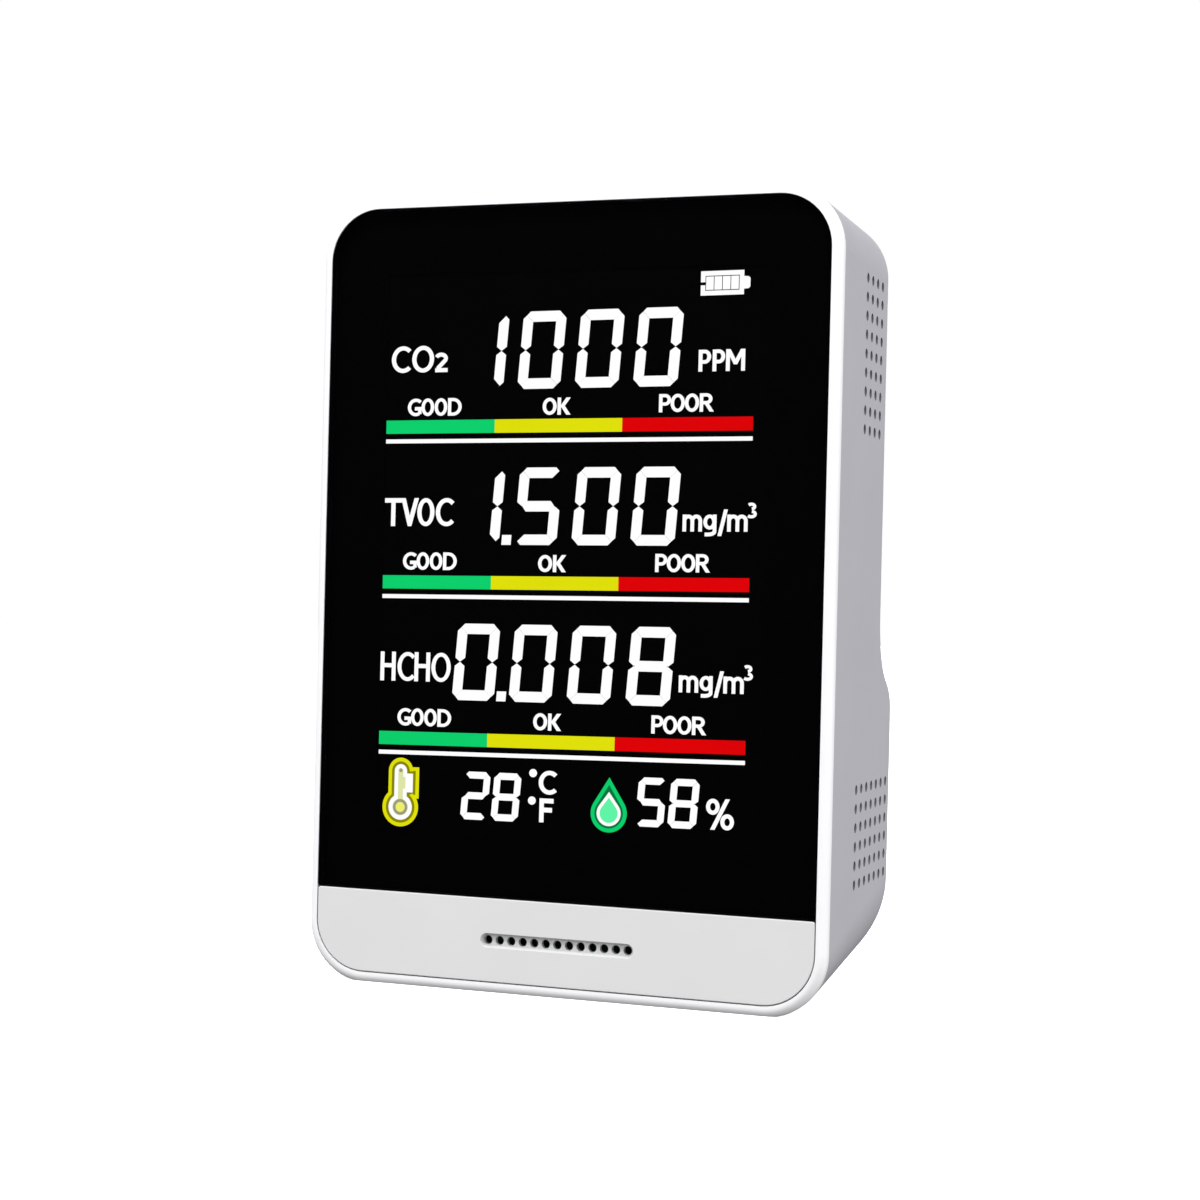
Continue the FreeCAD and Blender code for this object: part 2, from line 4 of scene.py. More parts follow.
import bmesh
import bpy
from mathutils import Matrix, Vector

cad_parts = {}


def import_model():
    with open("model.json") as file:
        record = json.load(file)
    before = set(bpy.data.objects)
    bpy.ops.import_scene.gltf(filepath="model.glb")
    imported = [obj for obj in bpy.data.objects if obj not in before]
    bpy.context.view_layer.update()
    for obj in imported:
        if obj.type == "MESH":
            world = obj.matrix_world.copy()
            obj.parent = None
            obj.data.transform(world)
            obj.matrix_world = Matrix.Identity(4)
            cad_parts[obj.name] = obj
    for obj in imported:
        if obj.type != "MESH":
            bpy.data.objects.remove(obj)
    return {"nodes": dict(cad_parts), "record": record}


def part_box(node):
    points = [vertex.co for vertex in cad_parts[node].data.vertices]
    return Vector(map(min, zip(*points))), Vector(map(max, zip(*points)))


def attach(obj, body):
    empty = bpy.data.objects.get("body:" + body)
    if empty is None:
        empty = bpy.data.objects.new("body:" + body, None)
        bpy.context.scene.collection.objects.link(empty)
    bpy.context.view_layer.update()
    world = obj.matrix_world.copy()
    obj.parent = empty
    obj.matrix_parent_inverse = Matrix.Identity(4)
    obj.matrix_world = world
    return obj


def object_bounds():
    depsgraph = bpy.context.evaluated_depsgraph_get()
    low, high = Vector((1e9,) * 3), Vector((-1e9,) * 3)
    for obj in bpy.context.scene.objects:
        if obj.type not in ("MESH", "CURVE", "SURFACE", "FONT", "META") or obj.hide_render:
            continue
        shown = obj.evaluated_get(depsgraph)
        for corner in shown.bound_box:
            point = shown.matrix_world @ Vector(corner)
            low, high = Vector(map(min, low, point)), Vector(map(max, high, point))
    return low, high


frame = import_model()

cad_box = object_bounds()

MM = 0.001
RIDES_ON = "housing"

# ---- Places read from the frame ----

front_low, front_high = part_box("front_frame")
lens_low, lens_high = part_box("display_lens")
mask_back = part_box("lens_mask")[1][1]
film_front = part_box("lcd_front_film")[0][1]
ground = cad_box[0][2]
screen_z = (front_low[2] + front_high[2]) / 2     # middle of the front panel
screen_x = -0.61 * MM                             # the display sits a little left of the lens's middle
UNIT = 1.005 * MM                                 # the display's drawing unit
LEAN = 0.009                                      # the display sits very slightly turned behind the lens
ink_front = mask_back + 0.02 * MM                 # lit pieces lie between the mask and the front film
ink_back = film_front - 0.02 * MM


# ---- Mesh helpers ----

def at(x, z, y):
    """A display point: x and z in drawing units from the middle of the screen, y in metres."""
    return Vector((screen_x + x * UNIT, y, screen_z + (z + x * LEAN) * UNIT))


def add_prism(mesh, points, front=None, back=None):
    """Closed slab with the given outline, anticlockwise as seen from the front."""
    front = ink_front if front is None else front
    back = ink_back if back is None else back
    near = [mesh.verts.new(at(x, z, front)) for x, z in points]
    far = [mesh.verts.new(at(x, z, back)) for x, z in points]
    mesh.faces.new(near)
    mesh.faces.new(list(reversed(far)))
    for i in range(len(points)):
        j = (i + 1) % len(points)
        mesh.faces.new((near[j], near[i], far[i], far[j]))


def add_ring(mesh, outer, inner, front=None, back=None):
    """Closed slab between two outlines with the same number of points."""
    front = ink_front if front is None else front
    back = ink_back if back is None else back
    loops = [[mesh.verts.new(at(x, z, y)) for x, z in outline]
             for outline, y in ((outer, front), (inner, front), (inner, back), (outer, back))]
    count = len(outer)
    for i in range(count):
        j = (i + 1) % count
        for a, b in ((0, 1), (1, 2), (2, 3), (3, 0)):
            mesh.faces.new((loops[a][i], loops[a][j], loops[b][j], loops[b][i]))


def finish_piece(name, mesh, material):
    """Turn a bmesh into a named piece that rides on the housing."""
    bmesh.ops.recalc_face_normals(mesh, faces=mesh.faces)
    data = bpy.data.meshes.new(name)
    mesh.to_mesh(data)
    mesh.free()
    data.materials.append(material)
    piece = bpy.data.objects.new(name, data)
    bpy.context.scene.collection.objects.link(piece)
    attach(piece, RIDES_ON)


# ---- Material helpers ----

CREVICE_SHADE_REACH = 2.5 * MM                          # how far from a wall the painted shade in holes reaches
FACE_ON_SHEEN = 0.04                              # share of light that a clear sheet reflects head on


class Nodes:
    """Short way to build one material's node tree."""

    def __init__(self, name):
        self.material = bpy.data.materials.new(name)
        self.material.use_nodes = True
        self.tree = self.material.node_tree
        self.tree.nodes.clear()
        self.output = self.add("ShaderNodeOutputMaterial")
        self.shader = self.add("ShaderNodeBsdfPrincipled")
        self.link(self.shader.outputs[0], self.output.inputs["Surface"])
        self.place = self.add("ShaderNodeTexCoord").outputs["Object"]

    def add(self, kind, **settings):
        node = self.tree.nodes.new(kind)
        for key, value in settings.items():
            setattr(node, key, value)
        return node

    def link(self, source, target):
        self.tree.links.new(source, target)

    def noise(self, size, detail=2.0, stretch=(1, 1, 1)):
        """Noise with features of about the given size in metres."""
        scaled = self.add("ShaderNodeMapping")
        scaled.inputs["Scale"].default_value = stretch
        node = self.add("ShaderNodeTexNoise")
        node.inputs["Scale"].default_value = 1 / size
        node.inputs["Detail"].default_value = detail
        self.link(self.place, scaled.inputs["Vector"])
        self.link(scaled.outputs[0], node.inputs["Vector"])
        return node.outputs["Fac"]

    def spread(self, value, low, high, start=0.3, end=0.7):
        """Stretch a noise value over the range from low to high."""
        node = self.add("ShaderNodeMapRange")
        node.inputs["From Min"].default_value = start
        node.inputs["From Max"].default_value = end
        node.inputs["To Min"].default_value = low
        node.inputs["To Max"].default_value = high
        self.link(value, node.inputs["Value"])
        return node.outputs["Result"]

    def blend(self, factor, first, second):
        """Mix of two colours, or of a colour and another node's colour."""
        node = self.add("ShaderNodeMix", data_type="RGBA")
        for socket, colour in ((node.inputs[6], first), (node.inputs[7], second)):
            if isinstance(colour, tuple):
                socket.default_value = (*colour, 1)
            else:
                self.link(colour, socket)
        self.link(factor, node.inputs[0])
        return node.outputs[2]

    def bump(self, value, strength, distance):
        node = self.add("ShaderNodeBump")
        node.inputs["Strength"].default_value = strength
        node.inputs["Distance"].default_value = distance
        self.link(value, node.inputs["Height"])
        self.link(node.outputs[0], self.shader.inputs["Normal"])

    def set(self, **values):
        for key, value in values.items():
            self.shader.inputs[key.replace("_", " ")].default_value = value


def shade(colour, amount):
    return tuple(min(1.0, channel * amount) for channel in colour)


def plastic(name, colour, roughness, grain=0.25 * MM, relief=0.25, mottle=0.03, patch=12 * MM, gloss=0.5,
            crevice_shade=0.0):
    """Moulded plastic: fine grain, slow colour change, uneven sheen, and, when the shade amount is given,
    shade painted into holes and near walls from ambient occlusion.
    """
    n = Nodes(name)
    slow = n.noise(patch, 3.0)
    tone = n.spread(slow, 0.0, 1.0)
    tint = n.blend(tone, shade(colour, 1 - mottle), shade(colour, 1 + mottle))
    # Painted shade: ambient occlusion darkens the colour in holes, slots and near walls.
    if crevice_shade:
        shade_occlusion = n.add("ShaderNodeAmbientOcclusion", samples=8)
        shade_occlusion.inputs["Distance"].default_value = CREVICE_SHADE_REACH
        unshaded_share = n.spread(shade_occlusion.outputs["AO"], 0.0, 1.0, 0.45, 0.9)
        tint = n.blend(unshaded_share, shade(colour, 1 - crevice_shade), tint)
    n.link(tint, n.shader.inputs["Base Color"])
    fine = n.noise(grain, 2.0)
    n.link(n.spread(fine, roughness - 0.06, roughness + 0.06), n.shader.inputs["Roughness"])
    n.bump(fine, relief, 0.02 * MM)
    n.set(IOR=1.5, Specular_IOR_Level=gloss)
    return n.material


def glow(name, colour, strength):
    """Backlit film: even colour with the slight cloudiness of the diffuser behind it."""
    n = Nodes(name)
    cloud = n.spread(n.noise(9 * MM, 2.0), 0.0, 1.0)
    tint = n.blend(cloud, shade(colour, 0.97), colour)
    n.link(tint, n.shader.inputs["Emission Color"])
    n.set(Base_Color=(0.001, 0.001, 0.001, 1), Emission_Strength=strength, Roughness=0.5,
          Specular_IOR_Level=0.0)
    return n.material


def metal(name, colour, roughness, brush=(1, 1, 30)):
    """Satin plated metal with fine lines and uneven polish."""
    n = Nodes(name)
    lines = n.noise(0.5 * MM, 3.0, brush)
    tone = n.spread(lines, 0.0, 1.0)
    n.link(n.blend(tone, shade(colour, 0.88), colour), n.shader.inputs["Base Color"])
    n.link(n.spread(lines, roughness - 0.08, roughness + 0.1), n.shader.inputs["Roughness"])
    n.bump(lines, 0.15, 0.01 * MM)
    n.set(Metallic=0.45)
    return n.material


def clear_plate(name, tint, roughness, density):
    """Clear sheet: see-through with a polished face that carries faint smears."""
    n = Nodes(name)
    smear = n.noise(7 * MM, 4.0, (1, 1, 0.4))
    n.link(n.spread(smear, roughness * 0.6, roughness * 1.6), n.shader.inputs["Roughness"])
    n.link(n.blend(n.spread(smear, 0.0, 1.0), tint, shade(tint, 0.9)), n.shader.inputs["Base Color"])
    through = n.add("ShaderNodeBsdfTransparent")
    through.inputs["Color"].default_value = (1 - density, 1 - density, 1 - density, 1)
    facing = n.add("ShaderNodeLayerWeight")
    grazing = n.add("ShaderNodeMath", operation="POWER")
    grazing.inputs[1].default_value = 5.0
    n.link(facing.outputs["Facing"], grazing.inputs[0])
    mix = n.add("ShaderNodeMixShader")
    n.link(n.spread(grazing.outputs[0], FACE_ON_SHEEN, 1.0, 0.0, 1.0), mix.inputs["Fac"])
    n.link(through.outputs[0], mix.inputs[1])
    n.link(n.shader.outputs[0], mix.inputs[2])
    n.link(mix.outputs[0], n.output.inputs["Surface"])
    return n.material


def dress(node, material):
    """Give a CAD node its finished material."""
    data = frame["nodes"][node].data
    data.materials.clear()
    data.materials.append(material)


# ---- Materials ----

WHITE = (0.905, 0.90, 0.92)
GREY = (0.443, 0.438, 0.473)
STRIP = (0.705, 0.705, 0.708)
GREEN = (0.0033, 0.679, 0.162)
YELLOW = (0.807, 0.807, 0.0024)
RED = (0.791, 0.0, 0.0012)
PALE_GREEN = (0.13, 1.0, 0.42)
CREAM = (0.80, 0.84, 0.42)
GLOW = 1.09                               # brightness of the coloured segments

bezel_white = plastic("bezel_white", WHITE, 0.38, relief=0.12, mottle=0.012)
# The shell and trim get painted shade in their vent holes and slot.
shell_grey = plastic("shell_grey", GREY, 0.5, relief=0.35, mottle=0.015, crevice_shade=0.5)
trim_grey = plastic("trim_grey", STRIP, 0.45, relief=0.2, mottle=0.012, crevice_shade=0.45)
button_grey = plastic("button_grey", GREY, 0.42, relief=0.2)
mask_black = plastic("mask_black", (0.0008, 0.0008, 0.0008), 0.6, relief=0.05, gloss=0.01)
film_black = plastic("film_black", (0.0006, 0.0006, 0.0007), 0.5, relief=0.02, gloss=0.01)
tape_black = plastic("tape_black", (0.01, 0.01, 0.01), 0.8)
lens_clear = clear_plate("lens_clear", (0.01, 0.01, 0.012), 0.06, 0.04)
glass_clear = clear_plate("glass_clear", (0.3, 0.34, 0.33), 0.05, 0.1)
guide_clear = clear_plate("guide_clear", (0.6, 0.64, 0.66), 0.08, 0.06)
pipe_frosted = plastic("pipe_frosted", (0.62, 0.66, 0.67), 0.3, grain=0.1 * MM, relief=0.1)
film_colour = plastic("film_colour", (0.55, 0.60, 0.55), 0.35)
tray_white = plastic("tray_white", (0.8, 0.8, 0.78), 0.35)
lamp_yellow = plastic("lamp_yellow", (0.75, 0.60, 0.15), 0.3, grain=0.1 * MM)
board_green = plastic("board_green", (0.012, 0.11, 0.045), 0.3, grain=0.4 * MM, mottle=0.15, patch=3 * MM)
chip_black = plastic("chip_black", (0.02, 0.02, 0.021), 0.55, grain=0.1 * MM)
ceramic_tan = plastic("ceramic_tan", (0.30, 0.20, 0.11), 0.4, grain=0.1 * MM)
ferrite_grey = plastic("ferrite_grey", (0.06, 0.06, 0.062), 0.7, grain=0.15 * MM)
sensor_white = plastic("sensor_white", (0.75, 0.75, 0.73), 0.45)
filter_white = plastic("filter_white", (0.8, 0.8, 0.78), 0.9, grain=0.12 * MM, relief=0.8)
foam_grey = plastic("foam_grey", (0.05, 0.05, 0.055), 0.95, grain=0.35 * MM, relief=1.0)
connector_white = plastic("connector_white", (0.72, 0.70, 0.62), 0.4)
wire_red = plastic("wire_red", (0.42, 0.01, 0.01), 0.45)
wire_black = plastic("wire_black", (0.012, 0.012, 0.012), 0.45)
can_silver = metal("can_silver", (0.62, 0.62, 0.60), 0.3)
pin_tin = metal("pin_tin", (0.68, 0.67, 0.64), 0.3, (1, 30, 1))
sensor_gold = metal("sensor_gold", (0.70, 0.50, 0.20), 0.28)
cell_silver = metal("cell_silver", (0.55, 0.56, 0.58), 0.38)
socket_steel = metal("socket_steel", (0.60, 0.60, 0.60), 0.25, (30, 1, 1))
screw_steel = metal("screw_steel", (0.25, 0.25, 0.26), 0.35)
glow_white = glow("glow_white", (1.0, 1.0, 1.0), 1.2)
glow_green = glow("glow_green", GREEN, GLOW)
glow_yellow = glow("glow_yellow", YELLOW, GLOW)
glow_red = glow("glow_red", RED, GLOW)
glow_pale_green = glow("glow_pale_green", PALE_GREEN, GLOW)
glow_green_dim = glow("glow_green_dim", shade(GREEN, 0.3), GLOW)
glow_yellow_dim = glow("glow_yellow_dim", shade(YELLOW, 0.32), GLOW)
glow_cream = glow("glow_cream", CREAM, GLOW)
glow_yellow_pale = glow("glow_yellow_pale", (0.92, 0.95, 0.15), GLOW)
glow_shade = glow("glow_shade", (0.36, 0.36, 0.22), GLOW)

SLOT_MATERIALS = {
    "bezel_white": bezel_white, "shell_grey": shell_grey, "trim_grey": trim_grey,
    "button_grey": button_grey, "lens_acrylic": lens_clear, "mask_black": mask_black,
    "tape_black": tape_black, "film_black": film_black, "lcd_glass": glass_clear,
    "film_colour": film_colour, "guide_clear": guide_clear, "tray_white": tray_white,
    "lamp_yellow": lamp_yellow, "board_green": board_green, "chip_black": chip_black,
    "ceramic_tan": ceramic_tan, "ferrite_grey": ferrite_grey, "can_silver": can_silver,
    "pin_tin": pin_tin, "sensor_gold": sensor_gold, "sensor_white": sensor_white,
    "filter_white": filter_white, "cell_silver": cell_silver, "foam_grey": foam_grey,
    "connector_white": connector_white, "wire_red": wire_red, "wire_black": wire_black,
    "socket_steel": socket_steel, "screw_steel": screw_steel,
}
for part in frame["record"]["subparts"]:
    dress(part["node"], SLOT_MATERIALS[part["material_slot"]])
dress("light_pipe", pipe_frosted)         # in the clear guide's slot, but frosted to spread its light


# ---- Seven-segment digits ----

SEGMENTS = {"0": "abcdef", "1": "bc", "2": "abged", "5": "afgcd", "8": "abcdefg"}
SLANT = math.tan(math.radians(4.3))


def segment_outlines(width, height, stroke, chamfer, gap):
    """Outlines of the seven segments of a digit, before it is slanted."""
    mid = height / 2
    tip = gap / 2
    shoulder = tip + 0.38 * stroke
    c = chamfer
    top = [(c, height), (c / 2 + gap / 2, height - c / 2), (stroke + gap / 2, height - stroke),
           (width - stroke - gap / 2, height - stroke), (width - c / 2 - gap / 2, height - c / 2),
           (width - c, height)]
    upper_left = [(0, height - c), (0, mid + shoulder), (stroke / 2, mid + tip), (stroke, mid + shoulder),
                  (stroke, height - stroke - gap / 2), (c / 2, height - c / 2 - gap / 2)]
    point, bend = 0.55 * stroke, 0.95 * stroke
    middle = [(point, mid), (bend, mid - stroke / 2), (width - bend, mid - stroke / 2),
              (width - point, mid), (width - bend, mid + stroke / 2), (bend, mid + stroke / 2)]

    def mirrored(points, across, over):
        flipped = [(width - x if across else x, height - z if over else z) for x, z in points]
        return flipped if across == over else list(reversed(flipped))

    return {
        "a": top, "f": upper_left, "g": middle,
        "b": mirrored(upper_left, True, False), "e": mirrored(upper_left, False, True),
        "c": mirrored(upper_left, True, True), "d": mirrored(top, False, True),
    }


def add_digit(mesh, digit, left, base, width, height, stroke, chamfer, gap):
    outlines = segment_outlines(width, height, stroke, chamfer, gap)
    for letter in SEGMENTS[digit]:
        add_prism(mesh, [(left + x + z * SLANT, base + z) for x, z in outlines[letter]])


def add_number(mesh, digits, left, base, pitch, size):
    for index, digit in enumerate(digits):
        add_digit(mesh, digit, left + index * pitch, base, **size)


# ---- Round shapes ----

def arc(x, z, radius, start, end, steps, height=None):
    """Points on an arc, angles in degrees anticlockwise from the right; height makes it an oval."""
    tall = radius if height is None else height
    return [(x + radius * math.cos(math.radians(start + (end - start) * i / steps)),
             z + tall * math.sin(math.radians(start + (end - start) * i / steps)))
            for i in range(steps + 1)]


def oval(x, z, across, tall, steps=40):
    return arc(x, z, across, 0, 360 * (steps - 1) / steps, steps - 1, tall)


def circle(x, z, radius, steps=32):
    return oval(x, z, radius, radius, steps)


# ---- Letters ----
# Each letter returns its closed outlines in a box of width w and height h, drawn with a stroke s.
# A pair of outlines is a shape with a hole.

def bar(x0, z0, x1, z1):
    return [(x0, z0), (x1, z0), (x1, z1), (x0, z1)]


def slanted(x0, z0, x1, z1, s):
    """Slanted stroke between two centre points, cut level at both ends."""
    t = s * math.hypot(x1 - x0, z1 - z0) / abs(z1 - z0) / 2
    return [(x0 - t, z0), (x0 + t, z0), (x1 + t, z1), (x1 - t, z1)]


def stroke(line, s):
    """Outline of a pen stroke along a line of points."""
    sides = ([], [])
    last = len(line) - 1
    for i, (x, z) in enumerate(line):
        before = line[max(i - 1, 0)]
        after = line[min(i + 1, last)]
        run = math.hypot(after[0] - before[0], after[1] - before[1])
        across = ((before[1] - after[1]) / run * s / 2, (after[0] - before[0]) / run * s / 2)
        sides[0].append((x - across[0], z - across[1]))
        sides[1].append((x + across[0], z + across[1]))
    return sides[0] + sides[1][::-1]


def vee(w, low, high, s):
    """A V as wide as the letter, with a blunt foot."""
    foot = 0.42 * s
    t = s * math.hypot(w / 2 - foot, high - low) / (high - low)
    notch = high - (high - low) * (w / 2 - t) / (w / 2 - foot)
    return [(0, high), (w / 2 - foot, low), (w / 2 + foot, low), (w, high),
            (w - t, high), (w / 2, notch), (t, high)]


def letter_o(w, h, s):
    return [(oval(w / 2, h / 2, w / 2, h / 2), oval(w / 2, h / 2, w / 2 - s, h / 2 - 0.92 * s))]


def open_round(w, h, s, start, end):
    """Round stroke that is open at its right."""
    across = w / (1 + math.cos(math.radians(start)))
    outer = arc(across, h / 2, across, start, end, 28, h / 2)
    inner = arc(across, h / 2, across - s, start, end, 28, h / 2 - 0.92 * s)
    return outer + inner[::-1]


def letter_c(w, h, s):
    return [open_round(w, h, s, 46, 314)]


def letter_g_capital(w, h, s):
    return [open_round(w, h, s, 46, 300), bar(w - s, 0.12 * h, w, 0.52 * h),
            bar(0.52 * w, 0.52 * h - s, w - s, 0.52 * h)]


def bowl(w, low, high, s, across):
    """Closed half round on a stem at the left."""
    middle, tall = (low + high) / 2, (high - low) / 2
    edge = 0.9 * s
    outer_arc = arc(w - across, middle, across, -90, 90, 20, tall)
    inner_arc = arc(w - across, middle, across - s, -90, 90, 20, tall - edge)
    return [(0, low), *outer_arc, (0, high)], [(s, low + edge), *inner_arc, (s, high - edge)]


def letter_d(w, h, s):
    return [bowl(w, 0, h, s, 0.62 * w)]


def letter_p(w, h, s):
    return [bowl(w, 0.36 * h, h, s, 0.5 * w), bar(0, 0, s, 0.36 * h)]


def letter_r(w, h, s):
    return [bowl(0.88 * w, 0.4 * h, h, s, 0.42 * w), bar(0, 0, s, 0.4 * h),
            slanted(w - 0.62 * s, 0, 0.5 * w, 0.42 * h, s)]


def letter_k(w, h, s):
    return [bar(0, 0, s, h), slanted(1.15 * s, 0.42 * h, w - 0.66 * s, h, s),
            slanted(w - 0.62 * s, 0, 1.35 * s, 0.56 * h, s)]


def letter_h(w, h, s):
    return [bar(0, 0, s, h), bar(w - s, 0, w, h), bar(s, 0.53 * h - s / 2, w - s, 0.53 * h + s / 2)]


def letter_t(w, h, s):
    return [bar(0, h - s, w, h), bar((w - s) / 2, 0, (w + s) / 2, h - s)]


def letter_f(w, h, s):
    return [bar(0, 0, s, h), bar(s, h - s, w, h), bar(s, 0.52 * h - s / 2, 0.9 * w, 0.52 * h + s / 2)]


def letter_v(w, h, s):
    return [vee(w, 0, h, s)]


def letter_m_capital(w, h, s):
    return [bar(0, 0, s, h), bar(w - s, 0, w, h), vee(w, 0.3 * h, h, s)]


def letter_m(w, h, s):
    shapes = [bar(0, 0, s, h)]
    reach = (w - s) / 2
    for start in (s / 2, w / 2):
        shoulder = arc(start + reach / 2, 0.62 * h, reach / 2, 170, 0, 12, 0.38 * h - s / 2)
        shapes.append(stroke(shoulder + [(start + reach, 0)], s))
    return shapes


def letter_g(w, h, s):
    across, middle, tall = 0.48 * w, 0.56 * h, 0.44 * h
    ring = (oval(across, middle, across, tall), oval(across, middle, across - s, tall - 0.9 * s))
    tail = arc(w / 2 - s / 2, 0.0, w / 2, 0, -100, 12, 0.28 * h - s / 2)
    return [ring, stroke([(w - s / 2, h), *tail, (0.12 * w, -0.28 * h + s / 2)], s)]


def letter_slash(w, h, s):
    return [slanted(0.6 * s, 0, w - 0.6 * s, h, s)]


def letter_two(w, h, s):
    top = arc(0.46 * w, h - 0.3 * h, 0.54 * w - s / 2, 160, -35, 16, 0.3 * h - s / 2)
    return [stroke(top + [(0.62 * s, 0.9 * s)], s), bar(0, 0, w, s)]


def letter_three(w, h, s):
    upper = arc(0.4 * w, 0.75 * h, 0.52 * w - s / 2, 140, -80, 14, 0.25 * h - s / 2)
    lower = arc(0.4 * w, 0.27 * h, 0.6 * w - s / 2, 80, -140, 14, 0.27 * h - s / 2)
    return [stroke(upper, s), stroke(lower, s)]


def letter_percent(w, h, s):
    across, tall, thin = 0.24 * w, 0.26 * h, 0.8 * s
    rings = [(oval(x, z, across, tall, 24), oval(x, z, across - thin, tall - thin, 24))
             for x, z in ((across, h - tall), (w - across, tall))]
    return rings + [slanted(0.24 * w, 0, 0.76 * w, h, thin)]


LETTERS = {
    "C": letter_c, "O": letter_o, "2": letter_two, "T": letter_t, "V": letter_v, "H": letter_h,
    "P": letter_p, "M": letter_m_capital, "m": letter_m, "g": letter_g, "/": letter_slash,
    "3": letter_three, "G": letter_g_capital, "D": letter_d, "K": letter_k, "R": letter_r,
    "F": letter_f, "%": letter_percent,
}


def add_letter(mesh, letter, left, right, base, top, weight):
    """One letter that fills the given box."""
    for shape in LETTERS[letter](right - left, top - base, weight):
        if isinstance(shape, tuple):
            outer, inner = shape
            add_ring(mesh, [(left + x, base + z) for x, z in outer], [(left + x, base + z) for x, z in inner])
        else:
            add_prism(mesh, [(left + x, base + z) for x, z in shape])


def add_word(mesh, word, edges, base, top, weight, shift=0.0):
    """A word whose letters stand in the boxes given by their left and right edges."""
    for letter, (left, right) in zip(word, edges):
        add_letter(mesh, letter, left + shift, right + shift, base, top, weight)


# ---- Display ----

# Places and sizes are in drawing units from the middle of the screen.

ROW_BARS = (25.4, 1.75, -22.15)           # heights of the three rows, which other heights start from
ROW_TILTS = (-0.0031, 0.002, 0.0078)      # slope of each row's bar and line, on top of the display's lean
ROW_DROPS = (-0.06, 0.04, 0.04)           # how far each row's bar lies under the row's height
BAR_LEFT, BAR_RIGHT = -30.0, 28.8
BAR_SPLITS = (-11.9, 8.6)
BAR_HEIGHT = 2.05
BAR_COLOURS = (("green", glow_green), ("yellow", glow_yellow), ("red", glow_red))
LINE_DROP = 2.2                           # from a bar's middle to the middle of the white line under it
LINE_HEIGHT = 0.62

BIG = dict(width=6.9, height=11.7, stroke=1.58, chamfer=1.1, gap=0.05)
BIG_POINT = 7.35                          # from a digit's left foot to the decimal point after it
POINT_SIZE, POINT_LEAN = 1.5, 0.1
READINGS = (                              # name, digits, point after the first, left foot, pitch, base
    ("co2", "1000", False, -17.63, 9.25, 31.06),
    ("tvoc", "1500", True, -17.71, 9.32, 7.46),
    ("hcho", "0008", True, -17.95, 9.35, -16.28),
)
SMALL = dict(width=4.4, height=7.3, stroke=1.04, chamfer=0.8, gap=0.05)
SMALL_PITCH = 5.05

GOOD_EDGES = ((-26.45, -24.15), (-24.15, -22.05), (-21.95, -19.85), (-19.72, -17.45))
OK_EDGES = ((-4.3, -2.05), (-1.9, 0.2))
POOR_EDGES = ((14.3, 16.15), (16.1, 18.3), (18.32, 20.5), (20.6, 22.8))
CO_EDGES = ((-29.35, -26.1), (-25.9, -22.25))
TVOC_EDGES = ((-30.05, -27.2), (-27.3, -24.35), (-24.55, -21.7), (-21.45, -18.4))
HCHO_EDGES = ((-30.15, -27.6), (-27.25, -24.35), (-24.4, -21.8), (-21.55, -18.35))
PPM_EDGES = ((20.2, 22.1), (22.35, 24.25), (24.4, 27.3))
MG_EDGES = ((18.4, 21.4), (21.6, 23.6))
RATING_FOOT, RATING_TOP, RATING_STROKE = 1.8, 4.5, 0.53      # of GOOD and POOR
OK_FOOT, OK_TOP, OK_STROKE = 1.72, 4.3, 0.54
WORD_SHIFTS = (                           # sideways and upward shift of GOOD, then of OK, in each row
    (0.0, 0.0, 0.14, -0.04),
    (-0.21, 0.0, 0.0, -0.08),
    (-0.52, -0.12, -0.18, -0.04),
)


def tilted_bar(row, left, right, under, height):
    """Bar that follows a row's slope, set under the row's coloured bar by the given drop."""
    middle = ROW_BARS[row] - ROW_DROPS[row] - under
    low, high = middle - height / 2, middle + height / 2
    return [(x, z + x * ROW_TILTS[row]) for x, z in bar(left, low, right, high)]


def bars():
    """Green, yellow and red bar of each row, and the white line under them."""
    edges = (BAR_LEFT, *BAR_SPLITS, BAR_RIGHT)
    for index, (name, material) in enumerate(BAR_COLOURS):
        mesh = bmesh.new()
        for row in range(3):
            add_prism(mesh, tilted_bar(row, edges[index], edges[index + 1], 0.0, BAR_HEIGHT))
        finish_piece("bars_" + name, mesh, material)
    mesh = bmesh.new()
    for row in range(3):
        add_prism(mesh, tilted_bar(row, BAR_LEFT, BAR_RIGHT, LINE_DROP, LINE_HEIGHT))
    finish_piece("row_lines", mesh, glow_white)


def big_numbers():
    """The three gas readings."""
    for name, digits, has_point, left, pitch, base in READINGS:
        mesh = bmesh.new()
        add_number(mesh, digits, left, base, pitch, BIG)
        if has_point:
            x = left + BIG_POINT
            add_prism(mesh, [(x, base), (x + POINT_SIZE, base),
                             (x + POINT_SIZE + POINT_LEAN, base + POINT_SIZE),
                             (x + POINT_LEAN, base + POINT_SIZE)])
        finish_piece("reading_" + name, mesh, glow_white)


